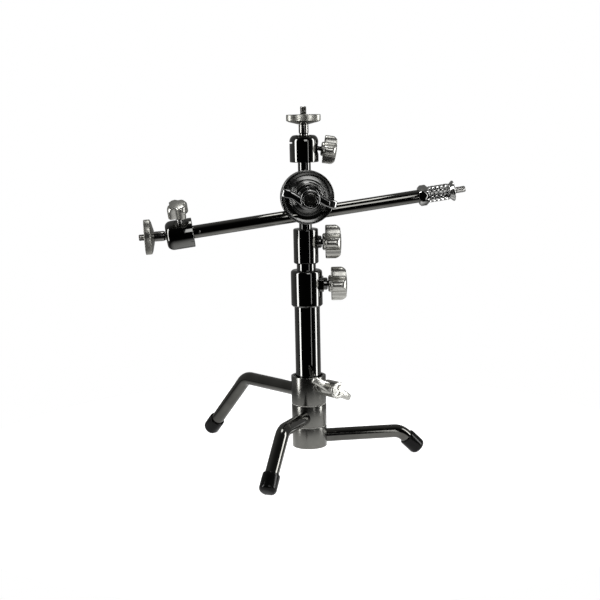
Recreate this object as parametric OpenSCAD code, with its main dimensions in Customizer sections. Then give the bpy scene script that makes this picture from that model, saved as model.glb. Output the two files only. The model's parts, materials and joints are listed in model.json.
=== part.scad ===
// Table-top C-stand: turtle base with three swing legs, telescopic column,
// grip head with a cross arm, and a small ball head on the column and on the arm.
// Millimetres. Origin on the floor, under the column axis. +Z up, -Y is the front.

/* [Column] */
// Outside diameter of the lower tube
lower_d = 25.4; // [25.2:0.1:25.5]
// Outside diameter of the middle tube
middle_d = 19.05; // [18.9:0.05:19.1]
// Diameter of the top rod and of the cross arm
rod_d = 12.7; // [12.6:0.05:12.75]
// Height of the top of the lower collar
lower_collar_top = 196.2; // [190:0.1:200]
// Height of the top of the upper collar
upper_collar_top = 237.3; // [234:0.1:240]

/* [Base] */
// Outside diameter of the stacked leg rings
ring_d = 35; // [34.5:0.1:36]
// Diameter of the leg tubes
leg_d = 13.6; // [12.7:0.1:14]
// Direction of the upper, middle and lower leg, degrees from +X
leg_az = [132.5, -109.6, 12.2]; // [-180:0.1:180]
// Slope of the lower part of each leg, degrees from the vertical
leg_lean = [43.7, 45, 45]; // [40:0.1:48]
// Distance from the column axis to the end of each leg
leg_reach = [162.5, 124, 116.2]; // [110:0.1:170]

/* [Grip head] */
// Height of the clamp bolt
bolt_z = 270.1; // [268:0.1:273]
// Turn of the head about the column, degrees
head_pan = 5; // [-10:1:10]
// Slope of the cross arm, degrees
arm_tilt = 7.4; // [0:0.1:12]
// Distance from the rod axis forward to the arm axis
arm_forward = 23; // [23:0.5:25]
// Distance from the bolt axis down to the arm axis
arm_drop = 16.2; // [16:0.1:17]
// Diameter of the clamp discs
jaw_d = 52; // [51:0.5:53]

/* [Cross arm] */
// Left end of the arm tube, from the point below the bolt
arm_left = -114; // [-116:0.5:-105]
// Right end of the arm tube, from the point below the bolt
arm_right = 108.2; // [105:0.1:112]

/* [Ball heads] */
// Height of the base of the top ball head
head_base_z = 302.8; // [302:0.1:304]
// Outside diameter of a ball head
housing_d = 28.4; // [28.2:0.1:30]
// Diameter of a platform disc
platform_d = 33.8; // [33:0.1:34.5]

/* [Knobs] */
// Diameter over the lobes of a collar knob
collar_knob_d = 33.6; // [32:0.1:34]
// Size of a ball head knob compared with a collar knob
small_knob = 0.82; // [0.78:0.01:0.84]
// Width of the arm ball head's knob compared with a collar knob
arm_knob_width = 0.65; // [0.63:0.01:0.67]

/* [Hidden] */
$fn = 64;

chrome = [0.22, 0.22, 0.22];
satin = [0.62, 0.61, 0.58];
steel = [0.5, 0.5, 0.5];
brass = [0.75, 0.6, 0.3];
nylon = [0.85, 0.84, 0.8];
vinyl = [0.06, 0.06, 0.06];

run_gap = 0.05;     // radial clearance of a shaft in its hole
face_gap = 0.3;     // gap between faces of parts that move past each other
cut = 1;            // how far a cutter stands past the face it opens
big = 400;          // larger than anything in the stand
tube_wall = 1.5;

lower_r = lower_d / 2;
middle_r = middle_d / 2;
rod_r = rod_d / 2;
ring_r = ring_d / 2;
leg_r = leg_d / 2;

// Ring heights: [bottom, top] of the lower, middle and upper leg ring
lower_ring = [16, 36.7];
middle_ring = [37.7, 59.4];
upper_ring = [60.4, 88.9];
spindle_r = 14.5;
spindle_z = [16.6, 85.9];
spindle_lip = 2.4;
counterbore_r = 16.2;
counterbore_h = 2;

leg_exit_z = [71.4, 47.6, 25.2];
leg_bend_z = [71.4, 50.8, 23.7];
leg_bend_r = 18;
leg_root = 16;        // how near the column axis a leg starts, inside its ring
joined = 0.6;         // overlap of the straights with the bend
bend_swell = 0.05;    // growth of the tube's radius where it is bent
leg_end_z = 3.4;
cap_r = 8.7;
cap_edge = 4.5;
cap_h = 19;
cap_wall = 3;

screw_r = 3;
pad_h = 1.8;
screw_z_base = 80.5;
screw_az_base = -51;
wing_slope = 29;      // drop of the wing on the right of the base screw, degrees
lower_screw_z = 181.6;
upper_screw_z = 223.7;

lower_tube_top = 171;
middle_tube_top = 213;
middle_tube_bottom = 32;
rod_bottom = 60;
rod_top = 307;

housing_r = housing_d / 2;
housing_h = 26.3;
ball_r = 9.5;
ball_up = 17.1;     // ball centre above the housing's base
stem_r = 4.85;
platform_r = platform_d / 2;
stud_r = 3.175;

// ---------- shared outlines and helpers ----------

// Solid of revolution about Z from [radius, height] points
module turned(points) rotate_extrude() polygon(points);

// Cylinder along Z between two heights
module rod_between(r, z0, z1) translate([0, 0, z0]) cylinder(r = r, h = z1 - z0);

// Tube along Z between two heights
module tube_between(r_out, r_in, z0, z1) {
    difference() {
        rod_between(r_out, z0, z1);
        rod_between(r_in, z0 - cut, z1 + cut);
    }
}

// Points of a rounded corner, from angle a0 to a1 about [x, y]
function corner(x, y, r, a0, a1, steps = 4) =
    [for (i = [0:steps]) let (a = a0 + (a1 - a0) * i / steps) [x + r * cos(a), y + r * sin(a)]];

// Places children with their +Z along the local direction of a radial screw:
// height z, direction az about the column, 'down' degrees below horizontal
module radial(z, az, down = 0) translate([0, 0, z]) rotate([0, 0, az]) rotate([0, 90 + down, 0]) children();

// The same for a [height, direction, degrees down] list
module along(lock) radial(lock[0], lock[1], lock[2]) children();

// Four lobed knob, flange at height 0, pointing up, blind screw hole from below,
// with its width and its length compared with a collar knob
module star_knob(width, tall, hole) {
    difference() {
        scale([width, width, tall]) intersection() {
            union() {
                turned([[0, 0], [7.2, 0], [8.5, 1.2], [8.5, 4], [0, 4]]);
                rod_between(11.2, 2.8, 19);
                for (a = [0:90:270]) rotate([0, 0, a]) translate([11.6, 0, 2.8]) cylinder(r = 5.2, h = 16);
            }
            turned([[0, 0], [8.6, 0], [9, 2.8], [16.2, 2.8], [16.8, 3.6], [16.8, 13],
                    [14.2, 17], [8, 18.9], [0, 18.9]]);
        }
        rod_between(hole, -cut, 11 * tall);
    }
}

// Puts children in the grip head: origin on the bolt axis at the rod, front is -Y
module in_head() translate([0, 0, bolt_z]) rotate([0, 0, head_pan]) children();

// Turned part about the bolt axis: [radius, distance in front of the rod axis]
module about_bolt(points) in_head() rotate([90, 0, 0]) turned(points);

// Puts children on the arm: +Z along the arm to the right, origin below the bolt
module on_arm() in_head() rotate([0, -arm_tilt, 0]) translate([0, -arm_forward, -arm_drop])
    rotate([0, 90, 0]) children();

// Puts children on a ball head standing on its base
module at_top() translate([0, 0, head_base_z]) children();
module at_arm() on_arm() translate([0, 0, arm_left]) rotate([180, 0, 0]) children();

// ---------- base ----------

// One leg ring with a hole for the leg's root
module leg_ring(z, bore_r) {
    edge = 0.8;
    difference() {
        turned([[bore_r, z[0]], [ring_r - edge, z[0]], [ring_r, z[0] + edge], [ring_r, z[1] - edge / 2],
                [ring_r - edge / 2, z[1]], [bore_r, z[1]]]);
        children();
    }
}

// Distance from the column axis to the point where leg i bends
function bend_at(i) = leg_reach[i] - (leg_bend_z[i] - leg_end_z) * tan(leg_lean[i]);

// Upward slope of the inner part of leg i
function leg_rise(i) = atan((leg_bend_z[i] - leg_exit_z[i]) / (bend_at(i) - ring_r));

// Angle that leg i is bent through, and the length the bend takes from each straight
function leg_turn(i) = 90 - leg_lean[i] + leg_rise(i);
function leg_tangent(i) = leg_bend_r * tan(leg_turn(i) / 2);

// Puts children at the bend of leg i, with +X pointing away from the column
module at_bend(i) rotate([0, 0, leg_az[i]]) translate([bend_at(i), 0, leg_bend_z[i]]) children();

// Puts children at the end of leg i, with +Z running out of the tube
module at_leg_end(i) rotate([0, 0, leg_az[i]]) translate([leg_reach[i], 0, leg_end_z])
    rotate([0, 180 - leg_lean[i], 0]) children();

// Inner straight of leg i from a distance 'root' to its bend
module leg_inner(i, r, root) at_bend(i) rotate([0, 270 - leg_rise(i), 0])
    rod_between(r, leg_tangent(i) - joined, (bend_at(i) - root) / cos(leg_rise(i)));

// Solid of radius r along leg i, ending 'short' of the leg's end
module leg_path(i, r, root, short) {
    leg_inner(i, r, root);
    at_bend(i) rotate([0, -leg_rise(i), 0]) translate([-leg_tangent(i), 0, -leg_bend_r])
        rotate([90, 0, 0]) rotate([0, 0, 90 - leg_turn(i)])
            rotate_extrude(angle = leg_turn(i)) translate([leg_bend_r, 0]) circle(r = r + bend_swell);
    at_leg_end(i) rod_between(r, leg_tangent(i) - joined - leg_fall(i), -short);
}

// Length of the outer part of leg i from its bend point to its end
function leg_fall(i) = (leg_bend_z[i] - leg_end_z) / cos(leg_lean[i]);

module leg(i) color(chrome) difference() {
    leg_path(i, leg_r, leg_root, cap_wall);
    leg_path(i, leg_r - tube_wall, leg_root - cut, cap_wall - cut);
}

// Vinyl cap on the end of leg i, cut flat where it stands on the floor
module foot_cap(i) color(vinyl) intersection() {
    at_leg_end(i) difference() {
        turned(concat([[0, -cap_h], [cap_r - 0.6, -cap_h], [cap_r, -cap_h + 0.6]],
            corner(cap_r - cap_edge, -cap_edge, cap_edge, 0, 90, 6), [[0, 0]]));
        rod_between(leg_r, -cap_h - cut, -cap_wall);
    }
    translate([-big / 2, -big / 2, 0]) cube(big);
}

module upper_hub() color(steel) difference() {
    union() {
        leg_ring(upper_ring, spindle_r) leg_inner(0, leg_r, leg_root);
        radial(screw_z_base, screw_az_base) rod_between(6.5, ring_r - 1, ring_r + 3);
    }
    radial(screw_z_base, screw_az_base) rod_between(screw_r + run_gap, 0, ring_r + 4);
    rod_between(spindle_r, upper_ring[0] - cut, upper_ring[1] + cut);
}

module middle_hub() color(steel) leg_ring(middle_ring, spindle_r + run_gap) leg_inner(1, leg_r, leg_root);

module lower_hub() color(steel) difference() {
    leg_ring(lower_ring, spindle_r + run_gap) leg_inner(2, leg_r, leg_root);
    rod_between(counterbore_r, lower_ring[0] - cut, lower_ring[0] + counterbore_h);
}

module upper_leg() leg(0);
module middle_leg() leg(1);
module lower_leg() leg(2);
module upper_foot_cap() foot_cap(0);
module middle_foot_cap() foot_cap(1);
module lower_foot_cap() foot_cap(2);

// Sleeve that the two lower rings turn on; the column stands on its bottom lip
module spindle() color(steel) difference() {
    turned([[lower_r - 2.2, spindle_z[0]], [spindle_r, spindle_z[0]], [spindle_r, spindle_z[1]],
            [lower_r + run_gap, spindle_z[1]], [lower_r + run_gap, spindle_z[0] + spindle_lip],
            [lower_r - 2.2, spindle_z[0] + spindle_lip]]);
    radial(screw_z_base, screw_az_base) rod_between(screw_r + run_gap, 0, ring_r);
}

// Snap ring on the foot of the spindle, inside the lower ring's counterbore
module retaining_ring() color(steel) difference() {
    tube_between(counterbore_r - face_gap, spindle_r, spindle_z[0], spindle_z[0] + 1.1);
    rotate([0, 0, -90]) translate([spindle_r - cut, -1.5, spindle_z[0] - cut]) cube([5, 3, 4]);
}

// Two thin washers between the rings
module hub_washers() color(nylon) for (z = [lower_ring[1], middle_ring[1]])
    tube_between(ring_r - 0.9, spindle_r, z + face_gap, z + 1 - face_gap);

// ---------- lock screws ----------

// Brass pad in front of a screw that presses on a shaft of radius r
module shaft_pad(r) color(brass) rod_between(screw_r, r + face_gap, r + face_gap + pad_h);

// Screw shank from its pad to inside the knob that starts at 'knob_at'
module shank(r, knob_at, depth) color(steel)
    rod_between(screw_r, r + 2 * face_gap + pad_h, knob_at + depth);

module base_pad() radial(screw_z_base, screw_az_base) shaft_pad(lower_r);
module base_screw() radial(screw_z_base, screw_az_base) shank(lower_r, 24, 16);

// Two winged knob
module base_wing_knob() color(satin) radial(screw_z_base, screw_az_base) difference() {
    union() {
        turned([[0, 22.4], [6.3, 22.4], [7, 23.4], [8.5, 29], [8.5, 45], [7.9, 46.2], [0, 46.2]]);
        for (side = [0, 180]) rotate([0, 0, 90 - wing_slope + side]) translate([0, 0, 33])
            linear_extrude(height = 6) polygon([[-3, -5.2], [6, -5.2], [14, -4.4], [25.4, -3.4], [27, -2.2],
                                                [27, 2.6], [25.4, 3.4], [14, 4.2], [6, 5.2], [-3, 5.2]]);
    }
    rod_between(screw_r, 22, 40);
}

lower_boss_end = 20.9;
lower_knob_at = 21.5;
upper_boss_end = 15.8;
upper_knob_at = 16.4;

// Collar: clamps the tube below it and guides the one above
module collar(r, z, tube_r, step_z, guide_r, screw_z, boss_end, fillet, chamfer, flat_pad) difference() {
    union() {
        turned(concat([[guide_r, z[0]], [r - chamfer, z[0]], [r, z[0] + chamfer]],
            corner(r - fillet, z[1] - fillet, fillet, 0, 90), [[guide_r, z[1]]]));
        radial(screw_z, 0) turned([[0, r - 2], [6.1, r - 2], [6.1, boss_end - 1.5], [4.8, boss_end],
                                   [0, boss_end]]);
        if (flat_pad) intersection() {
            rod_between(r + 1.2, z[0] + 6, z[1] - 6);
            translate([0, -7, z[0]]) cube([big, 14, z[1] - z[0]]);
        }
    }
    rod_between(guide_r, z[0] - cut, z[1] + cut);
    rod_between(tube_r, z[0] - cut, step_z);
    radial(screw_z, 0) rod_between(screw_r + run_gap, 0, boss_end + cut);
}

module lower_collar() color(chrome)
    collar(15.7, [159.6, lower_collar_top], lower_r, lower_tube_top, middle_r + run_gap,
           lower_screw_z, lower_boss_end, 2.8, 1.5, true);
module lower_pad() radial(lower_screw_z, 0) shaft_pad(middle_r);
module lower_screw() radial(lower_screw_z, 0) shank(middle_r, lower_knob_at, 11);
module lower_knob() color(satin) radial(lower_screw_z, 0) translate([0, 0, lower_knob_at])
    star_knob(collar_knob_d / 33.6, 1, screw_r);

module upper_collar() color(chrome)
    collar(12.35, [202.7, upper_collar_top], middle_r, middle_tube_top, rod_r + run_gap,
           upper_screw_z, upper_boss_end, 1.5, 1, false);
module upper_pad() radial(upper_screw_z, 0) shaft_pad(rod_r);
module upper_screw() radial(upper_screw_z, 0) shank(rod_r, upper_knob_at, 11);
module upper_knob() color(satin) radial(upper_screw_z, 0) translate([0, 0, upper_knob_at])
    star_knob(collar_knob_d / 33.6, 1, screw_r);

// ---------- column ----------

lower_tube_bore = lower_r - tube_wall;
middle_tube_bore = middle_r - tube_wall;
rod_bore = rod_r - 2;

module lower_tube() color(chrome)
    tube_between(lower_r, lower_tube_bore, spindle_z[0] + spindle_lip + face_gap, lower_tube_top);
module middle_tube() color(chrome)
    tube_between(middle_r, middle_tube_bore, middle_tube_bottom, middle_tube_top);
module middle_bush() color(nylon)
    tube_between(lower_tube_bore - run_gap, middle_r, middle_tube_bottom, middle_tube_bottom + 10);
module rod() color(chrome) difference() {
    turned([[0, rod_bottom], [rod_r - 0.8, rod_bottom], [rod_r, rod_bottom + 0.8],
            [rod_r, rod_top - 0.5], [rod_r - 0.5, rod_top], [0, rod_top]]);
    rod_between(rod_bore, rod_bottom - cut, rod_top - 14);
}
module rod_bush() color(nylon)
    tube_between(middle_tube_bore - run_gap, rod_r, rod_bottom + 1, rod_bottom + 9);

// ---------- grip head ----------

receiver_r = 14;
receiver_y = [-12, 10];     // back and front, distances in front of the rod axis
eye_r = 10;
eye_y = [-8.6, 9];
bolt_r = 4;
jaw_r = jaw_d / 2;
jaw_gap = 1.6;
rear_jaw_y = [13.6, arm_forward - jaw_gap / 2];
front_jaw_y = [arm_forward + jaw_gap / 2, 32.4];
washer_y = [front_jaw_y[1] + face_gap, front_jaw_y[1] + 2.3];
handle_y = [washer_y[1] + face_gap, 56];
bolt_end = 51.7;
end_screw_r = 2;
spring_pocket_r = 8.2;
liner_r = rod_r + 1.1;

module rod_liner() color(nylon)
    tube_between(liner_r, rod_r + run_gap, bolt_z - receiver_r + 0.6, bolt_z + receiver_r - 0.6);

module rod_hole() in_head() rod_between(liner_r + run_gap, -2 * receiver_r, 2 * receiver_r);

// Round block that the rod passes through, with the flange the jaws turn on
module receiver() color(chrome) difference() {
    about_bolt([[0, receiver_y[0]], [receiver_r - 1, receiver_y[0]], [receiver_r, receiver_y[0] + 1],
                [receiver_r, 10], [22, 10.4], [22, 13.2], [0, 13.2]]);
    about_bolt([[0, receiver_y[0] - cut], [eye_r + 0.2, receiver_y[0] - cut], [eye_r + 0.2, eye_y[1] + 0.3],
                [0, eye_y[1] + 0.3]]);
    about_bolt([[0, 0], [bolt_r + run_gap, 0], [bolt_r + run_gap, 20], [0, 20]]);
    rod_hole();
}
module receiver_cap() color(chrome)
    about_bolt([[0, receiver_y[0]], [eye_r + 0.2, receiver_y[0]], [eye_r + 0.2, -9.2], [0, -9.2]]);

// Bolt with an eye around the rod: pulling it forward grips the rod, the jaws and the arm
module clamp_bolt() color(steel) difference() {
    about_bolt([[0, eye_y[0]], [eye_r, eye_y[0]], [eye_r, eye_y[1]], [bolt_r, eye_y[1]],
                [bolt_r, bolt_end], [0, bolt_end]]);
    rod_hole();
    in_head() rotate([90, 0, 0]) rod_between(end_screw_r, bolt_end - 8, bolt_end + cut);
}

// Groove that grips the arm, cut through a jaw
module arm_groove() on_arm() rod_between(rod_r + run_gap, -2 * jaw_r, 2 * jaw_r);

module rear_jaw() color(chrome) difference() {
    about_bolt([[bolt_r + run_gap, rear_jaw_y[0]], [20, rear_jaw_y[0]], [jaw_r - 1, rear_jaw_y[0] + 2.2],
                [jaw_r, rear_jaw_y[0] + 3.4], [jaw_r, rear_jaw_y[1]], [spring_pocket_r, rear_jaw_y[1]],
                [spring_pocket_r, rear_jaw_y[1] - 4.4], [bolt_r + run_gap, rear_jaw_y[1] - 4.4]]);
    arm_groove();
}

// Front disc: raised rim, dished face, stepped cone under the handle
module front_jaw() color(chrome) difference() {
    about_bolt([[bolt_r + run_gap, front_jaw_y[0] + 4.4], [spring_pocket_r, front_jaw_y[0] + 4.4],
                [spring_pocket_r, front_jaw_y[0]], [jaw_r, front_jaw_y[0]],
                [jaw_r, 30.4], [jaw_r - 0.6, 31], [jaw_r - 1.6, 31], [jaw_r - 2.6, 29.4],
                [21, 29.2], [17, 30.4], [15.2, front_jaw_y[1]], [bolt_r + run_gap, front_jaw_y[1]]]);
    arm_groove();
}

spring_wire = 0.7;
spring_coil = 6.2;
spring_turns = 4;
spring_rings = 64;
spring_sides = 8;
spring_y = [rear_jaw_y[1] - 4.4 + spring_wire, front_jaw_y[0] + 4.4 - spring_wire - 0.1];

// Point j of the ring i of the coil, which is swept along a helix about the bolt axis
function coil_point(i, j) =
    let (a = 360 * spring_turns * i / spring_rings, b = 360 * j / spring_sides,
         r = spring_coil + spring_wire * cos(b),
         rise = (spring_y[1] - spring_y[0]) * i / spring_rings)
    [r * cos(a), r * sin(a), spring_y[0] + rise + spring_wire * sin(b)];

module jaw_spring() {
    n = spring_sides;
    points = [for (i = [0:spring_rings], j = [0:n - 1]) coil_point(i, j)];
    walls = [for (i = [0:spring_rings - 1], j = [0:n - 1])
        [i * n + j, (i + 1) * n + j, (i + 1) * n + (j + 1) % n, i * n + (j + 1) % n]];
    first = [for (j = [0:n - 1]) j];
    last = [for (j = [n - 1:-1:0]) spring_rings * n + j];
    color(steel) in_head() rotate([90, 0, 0])
        polyhedron(points = points, faces = concat(walls, [first, last]));
}

module thrust_washer() color(steel)
    about_bolt([[bolt_r + run_gap, washer_y[0]], [14.2, washer_y[0]], [14.2, washer_y[1]],
                [bolt_r + run_gap, washer_y[1]]]);

// Two winged handle with a hollow boss
module wing_handle() color(chrome) in_head() rotate([90, 0, 0]) difference() {
    union() {
        turned([[0, handle_y[0]], [13.2, handle_y[0]], [13.2, handle_y[0] + 2], [10.4, handle_y[0] + 3.4],
                [9.4, handle_y[0] + 12], [9.4, handle_y[1] - 0.8], [8.6, handle_y[1]], [0, handle_y[1]]]);
        rotate([0, 0, -13]) for (side = [0, 180]) rotate([0, 0, side])
            translate([0, 0, handle_y[1] - 13]) linear_extrude(height = 9)
                polygon([[-3, 8.2], [7, 8.2], [12, 4.8], [17, 3.2], [26, 3.4], [27, 2.4],
                         [27, -3.2], [25.6, -4.2], [17, -4.6], [-3, -8.6]]);
    }
    rod_between(bolt_r + run_gap, 0, handle_y[1]);
    rod_between(6.9, handle_y[1] - 7, handle_y[1] + cut);
}

// Screw in the end of the bolt that keeps the handle on it, with a hexagon socket
module bolt_end_screw() color(steel) difference() {
    about_bolt([[0, bolt_end - 7.6], [end_screw_r, bolt_end - 7.6], [end_screw_r, bolt_end],
                [5.8, bolt_end], [6.2, bolt_end + 0.4], [6.2, bolt_end + 2], [5.6, bolt_end + 2.6],
                [0, bolt_end + 2.6]]);
    in_head() rotate([90, 0, 0]) translate([0, 0, bolt_end + 0.8]) cylinder(r = 3.2, h = 5, $fn = 6);
}

// ---------- cross arm ----------

hex_h = 8.7;
flare_z = 138.6;
flange_end = flare_z + 4.5;
spigot_tip = 154.6;

module arm_tube() color(chrome) on_arm() tube_between(rod_r, rod_r - tube_wall, arm_left, arm_right);

// Plug in the left end of the tube, which the arm's ball head is screwed on
module arm_plug() color(steel) on_arm() difference() {
    rod_between(rod_r - tube_wall, arm_left - plug_depth, arm_left + 14);
    translate([0, 0, arm_left + 6]) rotate([90, 0, 0]) cylinder(r = 1.25, h = 30, center = true);
}

// Roll pins through the tube near both ends
module arm_pins() color(steel) on_arm() for (z = [arm_left + 6, arm_right - 6])
    translate([0, 0, z]) rotate([90, 0, 0]) cylinder(r = 1.25, h = 2 * rod_r - 0.4, center = true);

// Hexagon, grip section and flared end that a socket slides on
module spigot() color(satin) on_arm() difference() {
    union() {
        rod_between(rod_r - tube_wall, arm_right - 12, arm_right);
        intersection() {
            translate([0, 0, arm_right]) cylinder(r = 10.2, h = hex_h, $fn = 6);
            turned([[0, arm_right], [8.6, arm_right], [10.2, arm_right + 1.6], [10.2, arm_right + hex_h - 1.6],
                    [8.6, arm_right + hex_h], [0, arm_right + hex_h]]);
        }
        rod_between(8, arm_right + hex_h, flare_z);
        turned([[0, flare_z], [8, flare_z], [10.1, flare_z + 3.4], [10.1, flange_end],
                [0, flange_end]]);
    }
    translate([0, 0, arm_right - 6]) rotate([90, 0, 0]) cylinder(r = 1.25, h = 30, center = true);
    rod_between(stud_r, flare_z - 6, spigot_tip);
}
module spigot_stud() color(steel) on_arm()
    turned([[0, flare_z - 6], [stud_r, flare_z - 6], [stud_r, flange_end],
            [stud_r - 0.4, flange_end + 0.1], [stud_r - 0.4, flange_end + 0.5], [stud_r, flange_end + 0.6],
            [stud_r, spigot_tip - 0.8], [stud_r - 0.8, spigot_tip], [0, spigot_tip]]);

// ---------- ball heads ----------

plate_h = 9.6;                  // height of the platform, from the end of the stem to its flat top
seat_top = ball_up - 6.2;       // rim of the seat under the ball
mouth_r = [7.9, 9];

// Body of a ball head: socket for the shaft below, cavity for the ball, open mouth
module housing(shaft_r, shaft_depth, lock) color(chrome) difference() {
    turned(concat([[0, 0], [housing_r - 0.6, 0], [housing_r, 0.6]],
        corner(housing_r - 5, housing_h - 5, 5, 0, 90, 5), [[0, housing_h]]));
    rod_between(shaft_r, -cut, shaft_depth);
    rod_between(ball_r + 0.3, 6, ball_up);
    translate([0, 0, ball_up]) sphere(r = ball_r + run_gap);
    turned([[0, ball_up + 5.5], [mouth_r[0], ball_up + 5.5], [mouth_r[1], housing_h],
            [mouth_r[1], housing_h + cut], [0, housing_h + cut]]);
    along(lock) rod_between(small_screw_r + run_gap, 0, 2 * housing_r);
    rotate([0, 0, lock[1] + 180]) translate([housing_r - 2.7, -housing_r, 18.1]) cube([9, 2 * housing_r, 1.7]);
}

small_screw_r = 2.4;
lock_reach = 9.7;               // inner face of the brake pad, from the housing's axis

// Nylon cup under the ball that turns with it
module ball_seat() color(nylon) difference() {
    rod_between(ball_r - 0.1, 6 + face_gap, seat_top);
    translate([0, 0, ball_up]) sphere(r = ball_r + run_gap);
}

// Ball, neck, stem and camera stud in one piece: stem to 'end', stud 'stud_h' past the platform
module ball_stem(end, stud_h) color(steel) {
    top = end + plate_h;
    translate([0, 0, ball_up]) sphere(r = ball_r);
    turned([[0, ball_up], [4.2, ball_up], [4.2, housing_h + 1.5], [stem_r, housing_h + 3], [stem_r, end],
            [stud_r, end], [stud_r, top], [stud_r - 0.4, top + 0.1], [stud_r - 0.4, top + 0.5],
            [stud_r, top + 0.6], [stud_r, top + stud_h - 0.9], [stud_r - 0.9, top + stud_h],
            [0, top + stud_h]]);
}

// Disc with a domed underside that screws down on the stud
module platform(end) color(satin) turned([[stud_r + run_gap, end + face_gap], [6, end + face_gap],
    [14.6, end + 2.6], [platform_r, end + 3.6], [platform_r, end + plate_h - 0.4],
    [platform_r - 0.5, end + plate_h], [stud_r + run_gap, end + plate_h]]);

module brake_pad() color(brass) rod_between(small_screw_r, lock_reach, lock_reach + 1.6);
module lock_screw(knob_at) color(steel)
    rod_between(small_screw_r, lock_reach + 1.6 + face_gap, knob_at + 11 * small_knob);
module lock_knob(knob_at, width) color(satin) translate([0, 0, knob_at])
    star_knob(width, small_knob, small_screw_r);

// Lock screws: height on the housing's axis, direction, degrees below square to that axis
top_lock = [15.2, 0, 8.5];
top_knob_at = 16.9;
top_stem_end = 36.6;
arm_lock = [11.3, 180 - 29, 0];
arm_knob_at = 20;
arm_stem_end = 37.5;
arm_ball_rest = 4.5;             // upward tilt of the arm's ball
plug_depth = 5.4;                // depth of the arm's plug in its ball head

module top_housing() at_top() housing(rod_r, rod_top - head_base_z, top_lock);
module top_ball_seat() at_top() ball_seat();
module top_ball_stem() at_top() ball_stem(top_stem_end, 8);
module top_platform() at_top() platform(top_stem_end);
module top_brake_pad() at_top() along(top_lock) brake_pad();
module top_lock_screw() at_top() along(top_lock) lock_screw(top_knob_at);
module top_lock_knob() at_top() along(top_lock) lock_knob(top_knob_at, small_knob);

module arm_housing() at_arm() housing(rod_r - tube_wall, plug_depth, arm_lock);
module arm_ball_seat() at_arm() ball_seat();
module at_arm_ball() at_arm() translate([0, 0, ball_up]) rotate([0, -arm_ball_rest, 0])
    translate([0, 0, -ball_up]) children();
module arm_ball_stem() at_arm_ball() ball_stem(arm_stem_end, 5.6);
module arm_platform() at_arm_ball() platform(arm_stem_end);
module arm_brake_pad() at_arm() along(arm_lock) brake_pad();
module arm_lock_screw() at_arm() along(arm_lock) lock_screw(arm_knob_at);
module arm_lock_knob() at_arm() along(arm_lock) rotate([0, 0, 45])
    lock_knob(arm_knob_at, arm_knob_width);

upper_hub();
upper_leg();
upper_foot_cap();
spindle();
retaining_ring();
hub_washers();
middle_hub();
middle_leg();
middle_foot_cap();
lower_hub();
lower_leg();
lower_foot_cap();
base_pad();
base_screw();
base_wing_knob();
lower_tube();
lower_collar();
lower_pad();
lower_screw();
lower_knob();
middle_tube();
middle_bush();
upper_collar();
upper_pad();
upper_screw();
upper_knob();
rod();
rod_bush();
rod_liner();
receiver();
receiver_cap();
clamp_bolt();
rear_jaw();
front_jaw();
jaw_spring();
thrust_washer();
wing_handle();
bolt_end_screw();
arm_tube();
arm_plug();
arm_pins();
spigot();
spigot_stud();
top_housing();
top_ball_seat();
top_ball_stem();
top_platform();
top_brake_pad();
top_lock_screw();
top_lock_knob();
arm_housing();
arm_ball_seat();
arm_ball_stem();
arm_platform();
arm_brake_pad();
arm_lock_screw();
arm_lock_knob();
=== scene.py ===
import json
import math

import bmesh
import bpy
from mathutils import Matrix, Vector


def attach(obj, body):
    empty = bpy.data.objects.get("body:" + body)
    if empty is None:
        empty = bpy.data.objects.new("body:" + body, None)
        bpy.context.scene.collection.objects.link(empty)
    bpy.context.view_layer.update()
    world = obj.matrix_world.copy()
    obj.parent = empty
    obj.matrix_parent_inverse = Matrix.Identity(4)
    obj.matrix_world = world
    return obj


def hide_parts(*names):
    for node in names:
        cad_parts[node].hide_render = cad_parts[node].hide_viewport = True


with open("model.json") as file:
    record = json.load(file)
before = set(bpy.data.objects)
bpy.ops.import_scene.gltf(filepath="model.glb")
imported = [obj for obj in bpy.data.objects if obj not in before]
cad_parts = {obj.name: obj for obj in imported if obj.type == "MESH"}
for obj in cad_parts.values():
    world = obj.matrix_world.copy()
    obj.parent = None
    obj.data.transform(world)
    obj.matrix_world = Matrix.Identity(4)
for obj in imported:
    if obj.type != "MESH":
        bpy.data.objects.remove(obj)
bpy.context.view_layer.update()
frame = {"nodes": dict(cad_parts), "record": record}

# Shapes are written in millimetres, in a local frame whose +Z is the part's own axis.
MM = 0.001
RECORD = frame["record"]
JOINTS = {joint["name"]: joint for joint in RECORD["behaviour"]["joints"]}
BODY_OF = {node: body for body, nodes in RECORD["behaviour"]["bodies"].items() for node in nodes}
SLOT_OF = {part["node"]: part["material_slot"] for part in RECORD["subparts"]}
MOUNTS = {mount["name"]: mount for mount in RECORD["mounts"]}


# ---------- local frames, from the joints ----------

def axis_frame(origin, along, up):
    """Frame in metres at origin, with +Z along and +Y as near up as it can be."""
    z = Vector(along).normalized()
    x = Vector(up).cross(z).normalized()
    turn = Matrix((x, z.cross(x), z)).transposed().to_4x4()
    return Matrix.Translation(origin) @ turn


def joint_frame(name, up, origin=None):
    """Frame on a joint's axis."""
    joint = JOINTS[name]
    return axis_frame(origin or joint["pos_m"], joint["axis"], up)


def in_mm(place):
    """The same frame with its origin in millimetres."""
    made = Matrix(place)
    made.translation = place.translation / MM
    return made


UP = (0, 0, 1)
COLUMN = Matrix.Identity(4)
HEAD = joint_frame("arm_tilt", UP)
ARM_BALL = joint_frame("arm_ball_pan", UP)
ARM = joint_frame("arm_slide", UP, JOINTS["arm_ball_pan"]["pos_m"])
TOP_BALL = Matrix.Translation(JOINTS["top_ball_pan"]["pos_m"])


def extent(node, place=COLUMN):
    """Lowest and highest corner of a CAD node in a local frame, in millimetres."""
    back = place.inverted()
    points = [back @ v.co / MM for v in frame["nodes"][node].data.vertices]
    low = Vector(min(p[i] for p in points) for i in range(3))
    high = Vector(max(p[i] for p in points) for i in range(3))
    return low, high


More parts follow.
